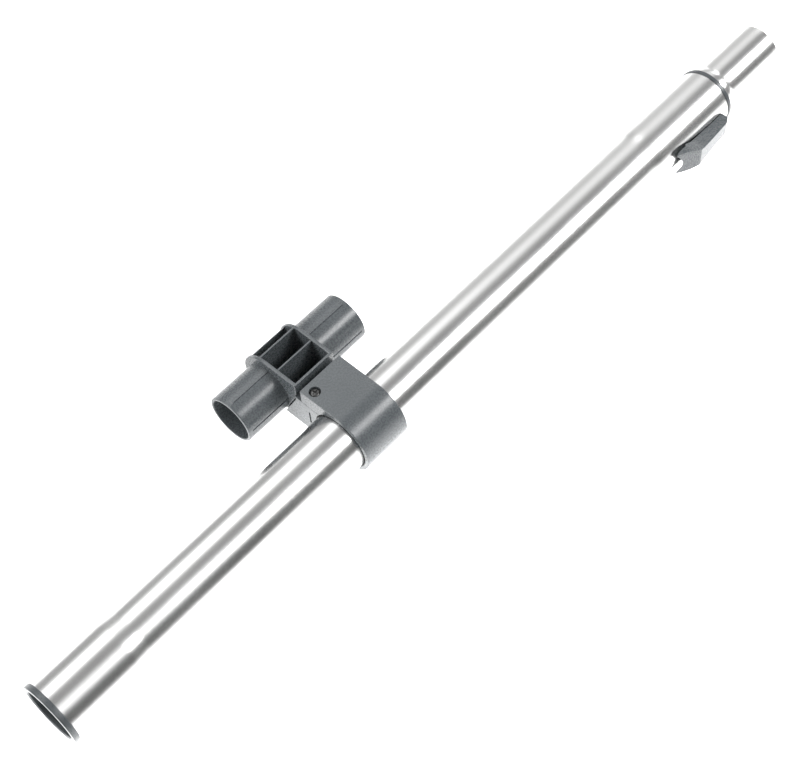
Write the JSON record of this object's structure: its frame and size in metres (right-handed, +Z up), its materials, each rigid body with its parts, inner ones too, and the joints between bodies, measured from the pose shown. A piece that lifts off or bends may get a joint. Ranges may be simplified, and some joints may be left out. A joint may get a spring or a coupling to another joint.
{
  "type": "telescopic vacuum wand",
  "caption": "Telescopic steel vacuum wand with a thumb release lever, a hose-handle socket, a nozzle spigot and a clamped holder with hollow pegs for accessories.",
  "frame": {"origin": "on the tube axis, where the wall of the hose-handle socket starts behind its lead-in", "axes": "+X along the tubes from the socket to the spigot, +Z up as the wand lies at rest, +Y towards the accessory holder"},
  "size_m": [0.6072, 0.1058, 0.0434],
  "materials": {
    "tube_steel": "bright steel with a fine satin polish",
    "inner_steel": "bright steel with a fine satin polish",
    "grey_plastic": "satin moulded plastic, neutral mid grey",
    "dark_plastic": "satin moulded plastic, dark grey",
    "felt": "pressed felt",
    "small_steel": "plain steel",
    "screw_steel": "black oxide",
    "rubber": "matte black rubber"
  },
  "bodies": {
    "outer": {"outer_tube": "tube_steel", "socket_bush": "dark_plastic", "guide_sleeve": "dark_plastic", "felt_ring": "felt", "lever_spring": "small_steel", "holder_body": "grey_plastic", "clamp_strap": "grey_plastic", "clamp_screw": "screw_steel", "clamp_liner": "rubber"},
    "inner": {"inner_tube": "inner_steel", "rear_guide_ring": "dark_plastic", "rear_seal": "rubber"},
    "lever": {"release_lever": "grey_plastic", "lock_tooth": "small_steel", "lever_pin": "small_steel"}
  },
  "joints": [
    {"name": "tube_slide", "type": "slide", "parent": "outer", "child": "inner", "axis": [1, 0, 0], "range_m": [0, 0.38]},
    {"name": "lever_press", "type": "hinge", "parent": "outer", "child": "lever", "pos_m": [0.522, -0.02194, 0.00157], "axis": [0, -0.0715, -0.9974], "range_deg": [0, 3], "stiffness_Nm_per_rad": 1.2, "springref_deg": -4.58, "deforming": ["lever_spring"]}
  ]
}
